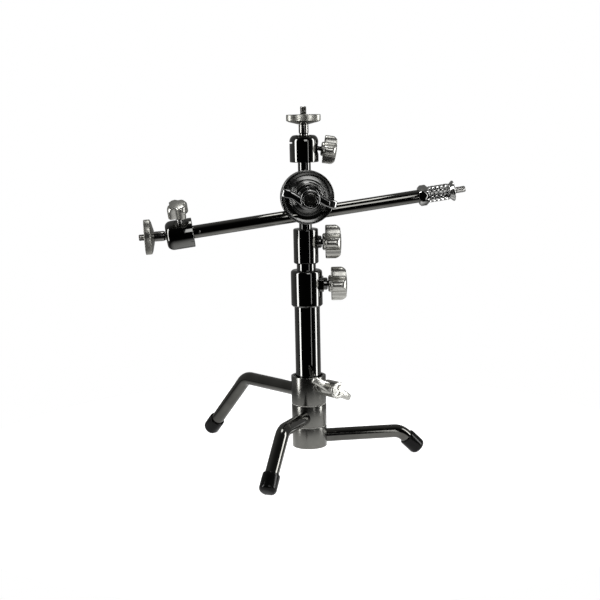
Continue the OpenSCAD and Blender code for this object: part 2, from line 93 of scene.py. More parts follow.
def size_along(node, place=COLUMN):
    """(radius, start, end) of a CAD node that is round about a frame's +Z."""
    low, high = extent(node, place)
    return (high.x - low.x) / 2, low.z, high.z


# ---------- shapes ----------

class Shape:
    """Closed surfaces in millimetres that together make one piece."""

    def __init__(self):
        self.verts, self.faces = [], []

    def add(self, surface, place=COLUMN):
        """Adds a surface; place is a frame in millimetres."""
        verts, faces = surface
        first = len(self.verts)
        self.verts += [place @ Vector(v) for v in verts]
        self.faces += [[first + i for i in face] for face in faces]
        return self


def skin(rings, loop=False):
    """Surface through rings of points; it ends in flat caps unless the rings close on themselves."""
    count = len(rings[0])
    verts = [point for ring in rings for point in ring]
    faces = []
    for i in range(len(rings) if loop else len(rings) - 1):
        a, b = i * count, (i + 1) % len(rings) * count
        faces += [(a + j, a + (j + 1) % count, b + (j + 1) % count, b + j) for j in range(count)]
    if not loop:
        faces += [tuple(reversed(range(count))), tuple(range(len(verts) - count, len(verts)))]
    return verts, faces


# A corner this open is left alone, and a fillet takes at most this share of the edges beside it.
NEARLY_STRAIGHT = math.radians(86)
MOST_OF_EDGE = 0.48


def rounded(points, fillet, loop=False, steps=4):
    """Outline of (x, y) points with rounded corners; a third number is that corner's own radius."""
    made = []
    last = len(points) - 1
    for i, point in enumerate(points):
        radius = point[2] if len(point) == 3 else fillet
        corner = Vector(point[:2])
        if (not loop and i in (0, last)) or radius <= 0:
            made.append(tuple(corner))
            continue
        before = Vector(points[i - 1][:2]) - corner
        after = Vector(points[(i + 1) % len(points)][:2]) - corner
        half = before.angle(after) / 2
        if half > NEARLY_STRAIGHT:
            made.append(tuple(corner))
            continue
        reach = min(radius / math.tan(half), MOST_OF_EDGE * min(before.length, after.length))
        radius = reach * math.tan(half)
        centre = corner + (before.normalized() + after.normalized()).normalized() * radius / math.sin(half)
        start = corner + before.normalized() * reach - centre
        turn = start.angle_signed(corner + after.normalized() * reach - centre)
        for step in range(steps + 1):
            a = math.atan2(start.y, start.x) - turn * step / steps
            made.append((centre.x + radius * math.cos(a), centre.y + radius * math.sin(a)))
    return made


def circle(radius, height, sides=64):
    """Ring of points about +Z; the radius is a number or a function of the angle."""
    ring = []
    for k in range(sides):
        a = math.tau * k / sides
        r = radius(a) if callable(radius) else radius
        ring.append((r * math.cos(a), r * math.sin(a), height))
    return ring


def lathe(points, fillet=0.3, loop=False, sides=64):
    """Turned surface of (radius, height) points about +Z."""
    return skin([circle(r, z, sides) for r, z in rounded(points, fillet, loop)], loop)


def rod(radius, start, end, fillet=0.4, sides=64):
    """Solid bar along +Z."""
    return lathe([(0, start), (radius, start), (radius, end), (0, end)], fillet, sides=sides)


def tube(outside, inside, start, end, fillet=0.4, sides=64):
    """Hollow bar along +Z."""
    return lathe([(inside, start), (outside, start), (outside, end), (inside, end)], fillet, True, sides)


THREAD_DEPTH = 0.35


def threaded(radius, start, end, pitch, sides=40, steps=8):
    """Screw thread cut in a rod, with a chamfered end."""

    def radius_at(a, z):
        turn = (z / pitch + a / math.tau) % 1
        crest = radius - THREAD_DEPTH * abs(2 * turn - 1) ** 0.8
        fade = min(1, (end - z) / (0.7 * pitch) + 0.15)
        return crest * (0.82 + 0.18 * fade)

    rows = int((end - start) / pitch * steps)
    rings = [circle(0, start, sides)]
    for i in range(rows + 1):
        z = start + (end - start) * i / rows
        rings.append(circle(lambda a, z=z: radius_at(a, z), z, sides))
    return skin(rings + [circle(0, end, sides)])


def knurled(radius, start, end, count=12, depth=1.0, rows=110):
    """Rod with a diamond knurl: two families of crossing grooves that fade out at its ends."""
    sides = count * 12
    lead = math.tau * radius / count
    fade_length = 0.8

    def radius_at(a, z):
        across, along = a / math.tau * count, (z - start) / lead
        ridge = min(abs(((across + s * along) % 1) * 2 - 1) for s in (-1, 1))
        edge = min(1, (z - start) / fade_length, (end - z) / fade_length)
        return radius - depth * (1 - edge * min(1, 1.5 * ridge))

    rings = [circle(0, start, sides)]
    for i in range(rows + 1):
        z = start + (end - start) * i / rows
        rings.append(circle(lambda a, z=z: radius_at(a, z), z, sides))
    return skin(rings + [circle(0, end, sides)])


def power(value, exponent):
    """Power of a number that keeps its sign."""
    return math.copysign(abs(value) ** exponent, value)


def loft(sections, square=2.6, sides=28, steps=6):
    """Smooth solid along +X through (along, across, height, half width, half thickness) sections.

    The sections are joined by a Catmull-Rom curve; square makes them from round (2) to boxy."""
    path = []
    for i in range(len(sections) - 1):
        p0, p1, p2, p3 = (sections[min(max(i + k, 0), len(sections) - 1)] for k in (-1, 0, 1, 2))
        for step in range(steps):
            t = step / steps
            path.append([0.5 * (2 * b + (c - a) * t + (2 * a - 5 * b + 4 * c - d) * t * t
                                + (3 * b - a - 3 * c + d) * t ** 3)
                         for a, b, c, d in zip(p0, p1, p2, p3)])
    path.append(sections[-1])
    rings = []
    for along, across, height, width, thick in path:
        rings.append([(along, across + width * power(math.cos(math.tau * k / sides), 2 / square),
                       height + thick * power(math.sin(math.tau * k / sides), 2 / square))
                      for k in range(sides)])
    return skin(rings)


def sweep(path, radius, sides=40):
    """Round bar of one radius along a path that lies in the plane Y = 0."""
    rings = []
    for i, point in enumerate(path):
        ahead = Vector(path[min(i + 1, len(path) - 1)]) - Vector(path[max(i - 1, 0)])
        normal = Vector((-ahead.z, 0, ahead.x)).normalized()
        rings.append([tuple(Vector(point) + radius * (math.cos(math.tau * k / sides) * normal
                                                      + math.sin(math.tau * k / sides) * Vector((0, 1, 0))))
                      for k in range(sides)])
    return skin(rings)


def at(z):
    """Frame that far up +Z."""
    return Matrix.Translation((0, 0, z))


def turned_by(degrees, axis="Z"):
    """Frame turned about one of its axes."""
    return Matrix.Rotation(math.radians(degrees), 4, axis)


def placed(surface, place):
    """The surface in another frame."""
    verts, faces = surface
    return [tuple(place @ Vector(v)) for v in verts], faces


# ---------- materials ----------

def material(name, metallic):
    """New material with its Principled shader and a position texture coordinate."""
    made = bpy.data.materials.new(name)
    made.use_nodes = True
    nodes = made.node_tree.nodes
    shader = nodes["Principled BSDF"]
    shader.inputs["Metallic"].default_value = metallic
    place = nodes.new("ShaderNodeTexCoord")
    return made, shader, place.outputs["Object"]


def noise(made, place, scale, detail=3.0, stretch=(1, 1, 1)):
    """Noise texture of position, with a scale in waves per metre."""
    nodes, links = made.node_tree.nodes, made.node_tree.links
    mapping = nodes.new("ShaderNodeMapping")
    mapping.inputs["Scale"].default_value = stretch
    texture = nodes.new("ShaderNodeTexNoise")
    texture.inputs["Scale"].default_value = scale
    texture.inputs["Detail"].default_value = detail
    links.new(place, mapping.inputs["Vector"])
    links.new(mapping.outputs["Vector"], texture.inputs["Vector"])
    return texture.outputs["Fac"]


def blend_colours(made, factor, dark, light, low=0.35, high=0.65):
    """Colour that goes from dark to light as the factor goes from low to high."""
    nodes, links = made.node_tree.nodes, made.node_tree.links
    ramp = nodes.new("ShaderNodeValToRGB")
    ramp.color_ramp.elements[0].position = low
    ramp.color_ramp.elements[1].position = high
    ramp.color_ramp.elements[0].color = (*dark, 1)
    ramp.color_ramp.elements[1].color = (*light, 1)
    links.new(factor, ramp.inputs["Fac"])
    return ramp.outputs["Color"]


def remap(made, factor, low, high):
    """Value from low to high over the part of a noise's range that it mostly fills."""
    nodes, links = made.node_tree.nodes, made.node_tree.links
    spread = nodes.new("ShaderNodeMapRange")
    spread.inputs["From Min"].default_value = 0.3
    spread.inputs["From Max"].default_value = 0.7
    spread.inputs["To Min"].default_value = low
    spread.inputs["To Max"].default_value = high
    links.new(factor, spread.inputs["Value"])
    return spread.outputs["Result"]


def bump(made, shader, factor, strength, depth):
    """Bump of that depth in metres."""
    nodes, links = made.node_tree.nodes, made.node_tree.links
    bumps = nodes.new("ShaderNodeBump")
    bumps.inputs["Strength"].default_value = strength
    bumps.inputs["Distance"].default_value = depth
    links.new(factor, bumps.inputs["Height"])
    links.new(bumps.outputs["Normal"], shader.inputs["Normal"])


def metal(name, dark, light, rough, grain=700, strength=0.02, depth=0.000005, stretch=(1, 1, 1)):
    """Plated or bare metal: cloudy tint, uneven gloss and fine grain."""
    made, shader, place = material(name, 1.0)
    clouds = noise(made, place, 60)
    marks = noise(made, place, grain, 5.0, stretch)
    links = made.node_tree.links
    links.new(blend_colours(made, clouds, dark, light), shader.inputs["Base Color"])
    links.new(remap(made, marks, *rough), shader.inputs["Roughness"])
    bump(made, shader, marks, strength, depth)
    return made


def plastic(name, dark, light, rough, grain=600, strength=0.03, depth=0.00004):
    """Moulded plastic or vinyl."""
    made, shader, place = material(name, 0.0)
    clouds = noise(made, place, 80)
    marks = noise(made, place, grain, 4.0)
    links = made.node_tree.links
    links.new(blend_colours(made, clouds, dark, light), shader.inputs["Base Color"])
    links.new(remap(made, marks, *rough), shader.inputs["Roughness"])
    shader.inputs["Specular IOR Level"].default_value = 0.15
    bump(made, shader, marks, strength, depth)
    return made


# fine tooling marks on the turned and cast pieces: grain, strength and depth
SATIN = (1200, 0.06, 0.00001)
# name: how it is made, darkest and lightest tint, least and most roughness
MATERIALS = {
    "leg_chrome": metal("leg_chrome", (0.09, 0.089, 0.082), (0.115, 0.114, 0.106), (0.06, 0.1)),
    "ring_satin": metal("ring_satin", (0.15, 0.149, 0.138), (0.18, 0.178, 0.166), (0.18, 0.26),
                        1400, 0.06, 0.00001, (1, 1, 12)),
    "column_chrome": metal("column_chrome", (0.11, 0.11, 0.107), (0.13, 0.13, 0.126), (0.03, 0.06)),
    "head_chrome": metal("head_chrome", (0.13, 0.13, 0.127), (0.16, 0.16, 0.156), (0.15, 0.21)),
    "arm_chrome": metal("arm_chrome", (0.125, 0.124, 0.115), (0.15, 0.148, 0.138), (0.03, 0.07)),
    "ball_head_chrome": metal("ball_head_chrome", (0.11, 0.11, 0.105), (0.13, 0.13, 0.125), (0.03, 0.06)),
    "handle_chrome": metal("handle_chrome", (0.22, 0.22, 0.217), (0.28, 0.28, 0.276), (0.07, 0.14)),
    "spindle_steel": metal("spindle_steel", (0.1, 0.1, 0.095), (0.15, 0.15, 0.145), (0.25, 0.4)),
    "screw_steel": metal("screw_steel", (0.2, 0.197, 0.187), (0.28, 0.276, 0.265), (0.12, 0.22)),
    "pad_brass": metal("pad_brass", (0.6, 0.44, 0.18), (0.75, 0.58, 0.28), (0.25, 0.4)),
    "knob_satin": metal("knob_satin", (0.42, 0.416, 0.388), (0.49, 0.486, 0.455), (0.25, 0.33), *SATIN),
    "spigot_satin": metal("spigot_satin", (0.34, 0.34, 0.332), (0.42, 0.42, 0.41), (0.06, 0.1)),
    "platform_satin": metal("platform_satin", (0.3, 0.298, 0.272), (0.36, 0.357, 0.328), (0.28, 0.38),
                            *SATIN),
    "foot_vinyl": plastic("foot_vinyl", (0.002, 0.002, 0.002), (0.004, 0.004, 0.004), (0.12, 0.2)),
    "nylon": plastic("nylon", (0.78, 0.77, 0.72), (0.86, 0.85, 0.81), (0.35, 0.5)),
}


# ---------- making a piece ----------

JOIN_DISTANCE_M = 1e-7


def new_object(name, data):
    """Object of that data, linked to the scene."""
    made = bpy.data.objects.new(name, data)
    bpy.context.collection.objects.link(made)
    return made


def solid(name, verts, faces, place):
    """Object of closed surfaces in millimetres: double points joined, slivers gone, faces outward."""
    data = bpy.data.meshes.new(name)
    data.from_pydata([place @ (Vector(v) * MM) for v in verts], [], faces)
    work = bmesh.new()
    work.from_mesh(data)
    bmesh.ops.remove_doubles(work, verts=work.verts, dist=JOIN_DISTANCE_M)
    bmesh.ops.dissolve_degenerate(work, edges=work.edges, dist=JOIN_DISTANCE_M)
    bmesh.ops.recalc_face_normals(work, faces=work.faces)
    work.to_mesh(data)
    work.free()
    return new_object(name, data)


def piece(node, shape, place=COLUMN, sharp=34, cutters=()):
    """The shape becomes a piece that stands for a CAD node and rides on its body."""
    made = solid(node + "_detail", shape.verts, shape.faces, place)
    for number, cutter in enumerate(cutters):
        carve(made, cutter, place, f"{node}_cut{number}")
    made.data.materials.clear()
    made.data.materials.append(MATERIALS[SLOT_OF[node]])
    for polygon in made.data.polygons:
        polygon.use_smooth = True
        polygon.material_index = 0
    made.data.set_sharp_from_angle(angle=math.radians(sharp))
    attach(made, BODY_OF[node])
    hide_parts(node)
    return made


def carve(made, surface, place, name):
    """Cuts a closed surface out of an object and keeps the result as its mesh."""
    cutter = solid(name, *surface, place)
    modifier = made.modifiers.new("cut", "BOOLEAN")
    modifier.operation = "DIFFERENCE"
    modifier.solver = "EXACT"
    modifier.use_self = True
    modifier.object = cutter
    bpy.context.view_layer.update()
    result = bpy.data.meshes.new_from_object(made.evaluated_get(bpy.context.evaluated_depsgraph_get()))
    made.modifiers.clear()
    made.data = result
    bpy.data.objects.remove(cutter)


# ---------- camera and studio ----------

CAMERA_PLACE = (-0.007, -1.25, 0.366)
CAMERA_DOWN_DEG, CAMERA_ROLL_DEG = 9.11, -1.2

camera_data = bpy.data.cameras.new("camera")
camera_data.lens = 75.96
camera_data.sensor_width = 36
camera = new_object("camera", camera_data)
camera.matrix_world = (Matrix.Translation(CAMERA_PLACE) @ turned_by(90 - CAMERA_DOWN_DEG, "X")
                       @ turned_by(CAMERA_ROLL_DEG, "Z"))
bpy.context.scene.camera = camera
bpy.context.scene.view_settings.view_transform = "Standard"


def softbox(name, place, target, width, height, power_w):
    """Rectangular area light that faces a point."""
    data = bpy.data.lights.new(name, "AREA")
    data.shape = "RECTANGLE"
    data.size, data.size_y = width, height
    data.energy = power_w
    light = new_object(name, data)
    light.location = place
    light.rotation_mode = "QUATERNION"
    light.rotation_quaternion = (Vector(target) - Vector(place)).to_track_quat("-Z", "Y")


# (share of the way from front to back, grey level) of the room that the metal reflects
ROOM_LEVELS = [(0.0, 0.004), (0.22, 0.01), (0.42, 0.1), (0.6, 0.22), (1.0, 0.25)]


def studio_world():
    """White to the eye; in reflections a room that is dark in front and grey at the back."""
    world = bpy.data.worlds.new("studio")
    bpy.context.scene.world = world
    world.use_nodes = True
    nodes, links = world.node_tree.nodes, world.node_tree.links
    nodes.clear()
    output = nodes.new("ShaderNodeOutputWorld")
    white = nodes.new("ShaderNodeBackground")
    white.inputs["Color"].default_value = (1, 1, 1, 1)
    room = nodes.new("ShaderNodeBackground")
    mix = nodes.new("ShaderNodeMixShader")
    path = nodes.new("ShaderNodeLightPath")
    place = nodes.new("ShaderNodeTexCoord")
    split = nodes.new("ShaderNodeSeparateXYZ")
    spread = nodes.new("ShaderNodeMapRange")
    spread.inputs["From Min"].default_value = -1
    ramp = nodes.new("ShaderNodeValToRGB")
    for position, _ in ROOM_LEVELS[1:-1]:
        ramp.color_ramp.elements.new(position)
    for element, (position, level) in zip(ramp.color_ramp.elements, ROOM_LEVELS):
        element.position = position
        element.color = (level, level, level * 0.98, 1)
    links.new(place.outputs["Generated"], split.inputs[0])
    links.new(split.outputs["Y"], spread.inputs["Value"])
    links.new(spread.outputs["Result"], ramp.inputs["Fac"])
    links.new(ramp.outputs["Color"], room.inputs["Color"])
    links.new(path.outputs["Is Camera Ray"], mix.inputs["Fac"])
    links.new(room.outputs[0], mix.inputs[1])
    links.new(white.outputs[0], mix.inputs[2])
    links.new(mix.outputs[0], output.inputs["Surface"])


# metres
FLOOR_RADIUS, FLOOR_SIDES, FLOOR_Z = 0.38, 96, -0.0002
# Painted pool of light: in reflections the floor glows, though it is no lamp, and that glow falls from one
# level to another between two radii.
FADE_CENTRE = (0.03, 0.0, 0.0)
FADE_RADII, FADE_LEVELS = (0.06, 0.37), (0.8, 0.01)


def floor():
    """Round pale floor: white to the eye; in reflections it glows as a painted pool of light and its colour
    is painted darker, both fading towards the edge.
    """
    data = bpy.data.meshes.new("floor")
    data.from_pydata(circle(FLOOR_RADIUS, FLOOR_Z, FLOOR_SIDES), [], [tuple(range(FLOOR_SIDES))])
    made = new_object("floor", data)
    paper, shader, place = material("floor_paper", 0.0)
    shader.inputs["Roughness"].default_value = 0.9
    shader.inputs["Specular IOR Level"].default_value = 0.1
    shader.inputs["Emission Color"].default_value = (1, 1, 1, 1)
    cloud = noise(paper, place, 40)
    nodes, links = paper.node_tree.nodes, paper.node_tree.links
    # the paper's cloudy colour, scaled by the painted glow: in reflections this is painted shade that darkens
    # it towards the edge
    paper_tint_and_painted_shade = nodes.new("ShaderNodeVectorMath")
    paper_tint_and_painted_shade.operation = "SCALE"
    links.new(blend_colours(paper, cloud, (0.6, 0.6, 0.595), (0.63, 0.63, 0.625)), paper_tint_and_painted_shade.inputs[0])
    links.new(paper_tint_and_painted_shade.outputs["Vector"], shader.inputs["Base Color"])
    away = nodes.new("ShaderNodeVectorMath")
    away.operation = "DISTANCE"
    away.inputs[1].default_value = FADE_CENTRE
    fade = nodes.new("ShaderNodeMapRange")
    fade.interpolation_type = "SMOOTHSTEP"
    fade.inputs["From Min"].default_value, fade.inputs["From Max"].default_value = FADE_RADII
    fade.inputs["To Min"].default_value, fade.inputs["To Max"].default_value = FADE_LEVELS
    # painted glow: full to the eye, and in reflections a painted pool of light that fades towards the edge;
    # it drives the emission and the painted shade on the colour
    painted_glow = nodes.new("ShaderNodeMath")
    painted_glow.operation = "MAXIMUM"
    links.new(place, away.inputs[0])
    links.new(away.outputs["Value"], fade.inputs["Value"])
    links.new(fade.outputs["Result"], painted_glow.inputs[0])
    links.new(nodes.new("ShaderNodeLightPath").outputs["Is Camera Ray"], painted_glow.inputs[1])
    links.new(painted_glow.outputs[0], shader.inputs["Emission Strength"])
    links.new(painted_glow.outputs[0], paper_tint_and_painted_shade.inputs["Scale"])
    data.materials.append(paper)


studio_world()
floor()
MIDDLE = (0, 0, 0.2)
# name, compass direction from the front in degrees, distance, width, height, power
for box_name, compass, away_m, box_w, box_h, watts in (
        ("left_strip", -70, 1.25, 0.3, 1.6, 14.8), ("right_strip", 83, 1.25, 0.3, 1.6, 14.8),
        ("front_strip", 33, 1.5, 0.08, 1.0, 0.8)):
    spot = (away_m * math.sin(math.radians(compass)), -away_m * math.cos(math.radians(compass)), 0.3)
    softbox(box_name, spot, MIDDLE, box_w, box_h, watts)
softbox("top", (0.0, 0.0, 1.7), (0, 0, 0), 0.5, 0.5, 5)
softbox("front_high", (0.35, -1.3, 0.85), MIDDLE, 0.6, 0.6, 4)


# ---------- base ----------

LEG_RADIUS = 6.8
BEND_RADIUS, BEND_STEPS = 18, 14
# The straight parts stop at this multiple of the bend's tangent length, just short of its arc.
BEND_CLEAR = 1.02
LEG_ROOT = 15
RING_RADIUS = 17.5
FLOOR_GAP = 0.02
# Each leg: the foot mount it ends in, lean of its outer part, heights at the ring and at the bend
LEGS = {
    "upper": ("upper_foot", 43.7, 71.4, 71.4),
    "middle": ("middle_foot", 45, 47.6, 50.8),
    "lower": ("lower_foot", 45, 25.2, 23.7),
}
LEG_END_Z = 3.4
# the tube stops this far inside its cap
TUBE_INSET = 3
CAP_RADIUS, CAP_EDGE, CAP_HEIGHT = 8.7, 4.5, 19
# how much narrower and shorter the visible cap is, so that it stays inside the CAD cap's box
CAP_SHRINK, CAP_END_SHRINK = 0.1, 0.15


def leg_frame(mount):
    """Frame of a leg with +X away from the column, and how far from the axis it stands."""
    x, y, _ = MOUNTS[mount]["pos_m"]
    return turned_by(math.degrees(math.atan2(y, x))), math.hypot(x, y) / MM


def leg(name):
    """Bent tube from the ring to the floor, and its vinyl cap."""
    mount, lean, root_z, bend_z = LEGS[name]
    place, stand = leg_frame(mount)
    lean = math.radians(lean)
    reach = stand + CAP_EDGE * math.sin(lean) + (CAP_RADIUS - CAP_EDGE) * math.cos(lean)
    bend_x = reach - (bend_z - LEG_END_Z) * math.tan(lean)
    rise = math.atan2(bend_z - root_z, bend_x - RING_RADIUS)
    turn = math.pi / 2 - lean + rise
    tangent = BEND_RADIUS * math.tan(turn / 2)
    inner = Vector((math.cos(rise), 0, math.sin(rise)))
    outer = Vector((math.sin(lean), 0, -math.cos(lean)))
    bend, end = Vector((bend_x, 0, bend_z)), Vector((reach, 0, LEG_END_Z))
    root = bend - inner * (bend_x - LEG_ROOT) / math.cos(rise)
    centre = bend - inner * tangent + BEND_RADIUS * Vector((math.sin(rise), 0, -math.cos(rise)))
    path = [root, bend - inner * tangent * BEND_CLEAR]
    for step in range(BEND_STEPS + 1):
        a = math.pi / 2 + rise - turn * step / BEND_STEPS
        path.append(centre + BEND_RADIUS * Vector((math.cos(a), 0, math.sin(a))))
    path += [bend + outer * tangent * BEND_CLEAR, end - outer * TUBE_INSET]
    piece(name + "_leg", Shape().add(sweep(path, LEG_RADIUS)), place)
    # a dipped sleeve with a soft lip, a round end and a flat where it stands
    wide = CAP_RADIUS - CAP_SHRINK
    cap = lathe([(LEG_RADIUS, -CAP_HEIGHT), (wide - 0.1, -CAP_HEIGHT, 0.7), (wide, -CAP_HEIGHT + 2.5),
                 (wide, -CAP_END_SHRINK, CAP_EDGE), (0, -CAP_END_SHRINK)], 0.6, sides=56)
    tip = Matrix.Translation(end) @ turned_by(180 - math.degrees(lean), "Y")
    shape = Shape().add(cap, tip)
    for vert in shape.verts:
        vert.z = max(vert.z, FLOOR_GAP)
    piece(name + "_foot_cap", shape, place, sharp=50)


for leg_name in LEGS:
    leg(leg_name)


BASE_LOCK = joint_frame("base_lock_knob_turn", UP)
# recess under the lowest ring, for the snap ring
COUNTERBORE_R, COUNTERBORE_H = 16.2, 2
# boss for the winged screw on the top ring
BASE_HOLE_R, BASE_BOSS_R, BASE_BOSS_START, BASE_BOSS_END = 3.1, 6.5, 13.5, 20.5


def leg_rings():
    """The three stacked rings; the lowest is recessed and the top one has a boss with its screw hole."""
    bore = size_along("spindle")[0]
    for name in ("lower_hub", "middle_hub", "upper_hub"):
        low, high = extent(name)
        inside = [(bore, low.z)]
        if name == "lower_hub":
            roof = low.z + COUNTERBORE_H
            inside = [(bore, roof), (COUNTERBORE_R, roof), (COUNTERBORE_R, low.z)]
        outside = [(RING_RADIUS, low.z, 0.9), (RING_RADIUS, high.z, 0.45), (bore, high.z, 0.3)]
        shape = Shape().add(lathe(inside + outside, 0.3, True, 96))
        cutters = []
        if name == "upper_hub":
            away = in_mm(BASE_LOCK)
            boss = [(BASE_HOLE_R, BASE_BOSS_START), (BASE_BOSS_R, BASE_BOSS_START),
                    (BASE_BOSS_R, BASE_BOSS_END, 0.8), (BASE_HOLE_R, BASE_BOSS_END, 0.3)]
            shape.add(lathe(boss, 0.3, True, 48), away)
            hole = rod(BASE_HOLE_R, BASE_BOSS_START - 3.5, BASE_BOSS_END + 1.5, 0, 48)
            cutters = [placed(hole, away)]
        piece(name, shape, cutters=cutters)


leg_rings()

# ---------- column ----------

LOWER_R, LOWER_START, LOWER_END = size_along("lower_tube")
MIDDLE_R, MIDDLE_START, MIDDLE_END = size_along("middle_tube")
ROD_R, ROD_START, ROD_END = size_along("rod")
WALL = 1.5
# clearance around whatever slides
SLIDE_GAP = 0.05
LOCK_HOLE_R = 3.05
BOSS_R, BOSS_FOOT_R, BOSS_FACE_R = 6.15, 7.2, 5

piece("lower_tube", Shape().add(tube(LOWER_R, LOWER_R - WALL, LOWER_START, LOWER_END, 0.4, 96)))
piece("middle_tube", Shape().add(tube(MIDDLE_R, MIDDLE_R - WALL, MIDDLE_START, MIDDLE_END, 0.4, 80)))
piece("rod", Shape().add(rod(ROD_R, ROD_START, ROD_END, 0.6)))


def collar(node, lock, radius, bore, guide, step_z, boss_end, shoulder, foot, pad=False):
    """Cast collar: rounded shoulder on top, chamfered foot, and a round boss for its screw.

    Up to step_z it is bored for its own tube, and above that for the stage that slides in it."""
    low, high = extent(node)
    body = [(bore, low.z), (radius - foot, low.z, 0.4), (radius, low.z + foot, 0.5),
            (radius, high.z, shoulder), (guide, high.z, 0.4), (guide, step_z, 0), (bore, step_z, 0)]
    shape = Shape().add(lathe(body, 0.3, True, 96))
    away = in_mm(lock)
    boss = [(LOCK_HOLE_R, radius - 1.5), (BOSS_FOOT_R, radius - 1.5), (BOSS_R, radius + 0.7, 0.8),
            (BOSS_R, boss_end - 0.9, 0.9), (BOSS_FACE_R, boss_end, 0.5), (LOCK_HOLE_R, boss_end)]
    shape.add(lathe(boss, 0.3, True, 48), away)
    if pad:
        outline = rounded([(-11, -7), (11, -7), (11, 7), (-11, 7)], 3, True)
        rings = [[(x, y, z) for x, y in outline] for z in (radius - 3, radius + 0.9)]
        rings.append([(x * 0.96, y * 0.94, radius + 1.2) for x, y in outline])
        shape.add(skin(rings), away)
    piece(node, shape, cutters=[placed(rod(LOCK_HOLE_R, 5, boss_end + 1, 0, 48), away)])


LOWER_LOCK = joint_frame("lower_lock_knob_turn", UP)
UPPER_LOCK = joint_frame("upper_lock_knob_turn", UP)
collar("lower_collar", LOWER_LOCK, radius=15.7, bore=LOWER_R, guide=MIDDLE_R + SLIDE_GAP,
       step_z=LOWER_END, boss_end=20.9, shoulder=2.8, foot=1.5, pad=True)
collar("upper_collar", UPPER_LOCK, radius=12.35, bore=MIDDLE_R, guide=ROD_R + SLIDE_GAP,
       step_z=MIDDLE_END, boss_end=15.8, shoulder=1.5, foot=1.0)


# ---------- lobed knobs ----------

def star_outline(angle):
    """Radius of the four-lobed outline at an angle, for a knob of 33.6 mm over its lobes."""
    return 13.8 + 3.1 * math.cos(4 * angle) - 0.1 * math.cos(8 * angle)


def star_top(r):
    """Height of the domed outer face at a distance from the knob's axis."""
    return 18.9 - 0.006 * r * r - 0.6 * max(0, r - 13.4) ** 1.4


# height where the lobes have their full width, and how far the round edge drops below the face
LOBE_START, EDGE_DROP = 4.2, 1.2


def star_knob(node, lock, wide=1, tall=1, turn=0):
    """Die-cast knob: round foot, four lobes with soft edges, and a slightly domed face."""
    sides = 144
    base = size_along(node, lock)[1]
    foot = rounded([(0, 0), (7.2, 0), (8.5, 1.2), (8.5, 3.2), (9.2, 3.4)], 0.4)
    rings = [circle(radius, height, sides) for radius, height in foot]

    def lobes(share, height_at):
        """Ring along the lobed outline, at a share of its size and a height that follows its radius."""
        flat = circle(lambda a: star_outline(a) * share, 0, sides)
        rings.append([(x, y, height_at(math.hypot(x, y))) for x, y, _ in flat])

    for share, height in ((0.93, 3.0), (0.965, 3.1), (0.99, 3.5), (1.0, LOBE_START)):
        lobes(share, lambda r, height=height: height)
    for rise in (0.0, 0.25, 0.5, 0.75):
        lobes(1.0, lambda r, rise=rise: LOBE_START + (star_top(r) - EDGE_DROP - LOBE_START) * rise)
    for share, drop in ((1.0, EDGE_DROP), (0.995, 0.75), (0.98, 0.35), (0.955, 0.1), (0.92, 0), (0.8, 0),
                        (0.6, 0), (0.4, 0), (0.2, 0), (0.0, 0)):
        lobes(share, lambda r, drop=drop: star_top(r) - drop)
    place = at(base) @ turned_by(turn) @ Matrix.Diagonal((wide, wide, tall, 1))
    piece(node, Shape().add(skin(rings), place), lock, sharp=40)


LOCK_PITCH = 1.0


def screw(node, lock):
    """Lock screw, threaded along its whole length."""
    radius, start, end = size_along(node, lock)
    piece(node, Shape().add(threaded(radius, start, end, LOCK_PITCH, 36, 6)), lock)


star_knob("lower_knob", LOWER_LOCK)
star_knob("upper_knob", UPPER_LOCK)
screw("lower_screw", LOWER_LOCK)
screw("upper_screw", UPPER_LOCK)

# ---------- two-winged screw on the base ----------

screw("base_screw", BASE_LOCK)
WING_SLOPE_DEG, GROOVE_TURN_DEG = 29, 70


def base_wing_knob():
    """Round hub with two curved grooves in its face, and two flat wings across it."""
    hub = lathe([(0, 22.4), (6.2, 22.4), (7.0, 24, 1), (8.3, 29, 3), (8.5, 45.4, 0.9), (7.7, 46.2, 0.5),
                 (0, 46.1)], 0.5)
    shape = Shape().add(hub)
    wing = loft([(3, 0, 36, 5.0, 2.9), (8, 0, 36, 4.9, 2.9), (14, 0, 36, 4.3, 2.8), (20, 0, 36, 3.8, 2.6),
                 (24.5, 0, 35.7, 3.3, 2.3), (26.5, 0, 35.4, 2.5, 1.8), (27, 0, 35.3, 1.2, 0.9)], square=4)
    for side in (0, 180):
        shape.add(wing, turned_by(-WING_SLOPE_DEG + side))
    groove = loft([(0.3, 0.6, 46.2, 0.8, 1.3), (2.0, 1.9, 46.2, 1.0, 1.4), (4.0, 1.5, 46.2, 1.1, 1.4),
                   (5.6, -0.6, 46.2, 1.0, 1.3), (5.7, -2.6, 46.2, 0.5, 0.8)], steps=4, sides=20)
    piece("base_wing_knob", shape, BASE_LOCK, sharp=40,
          cutters=[placed(groove, turned_by(GROOVE_TURN_DEG + side)) for side in (0, 180)])


base_wing_knob()

# ---------- grip head ----------

BOLT_BORE = 4.1
SPRING_POCKET_R, SPRING_POCKET_DEPTH = 8.2, 4.4
HANDLE_RECESS_R, HANDLE_RECESS_DEPTH = 6.9, 7
HANDLE_TURN_DEG = -13


def arm_cutter():
    """Round bar along the arm, a little wider than the arm, for the discs' grooves."""
    return placed(rod(ROD_R + SLIDE_GAP, 40, 220, 0, 48), in_mm(HEAD).inverted() @ in_mm(ARM))


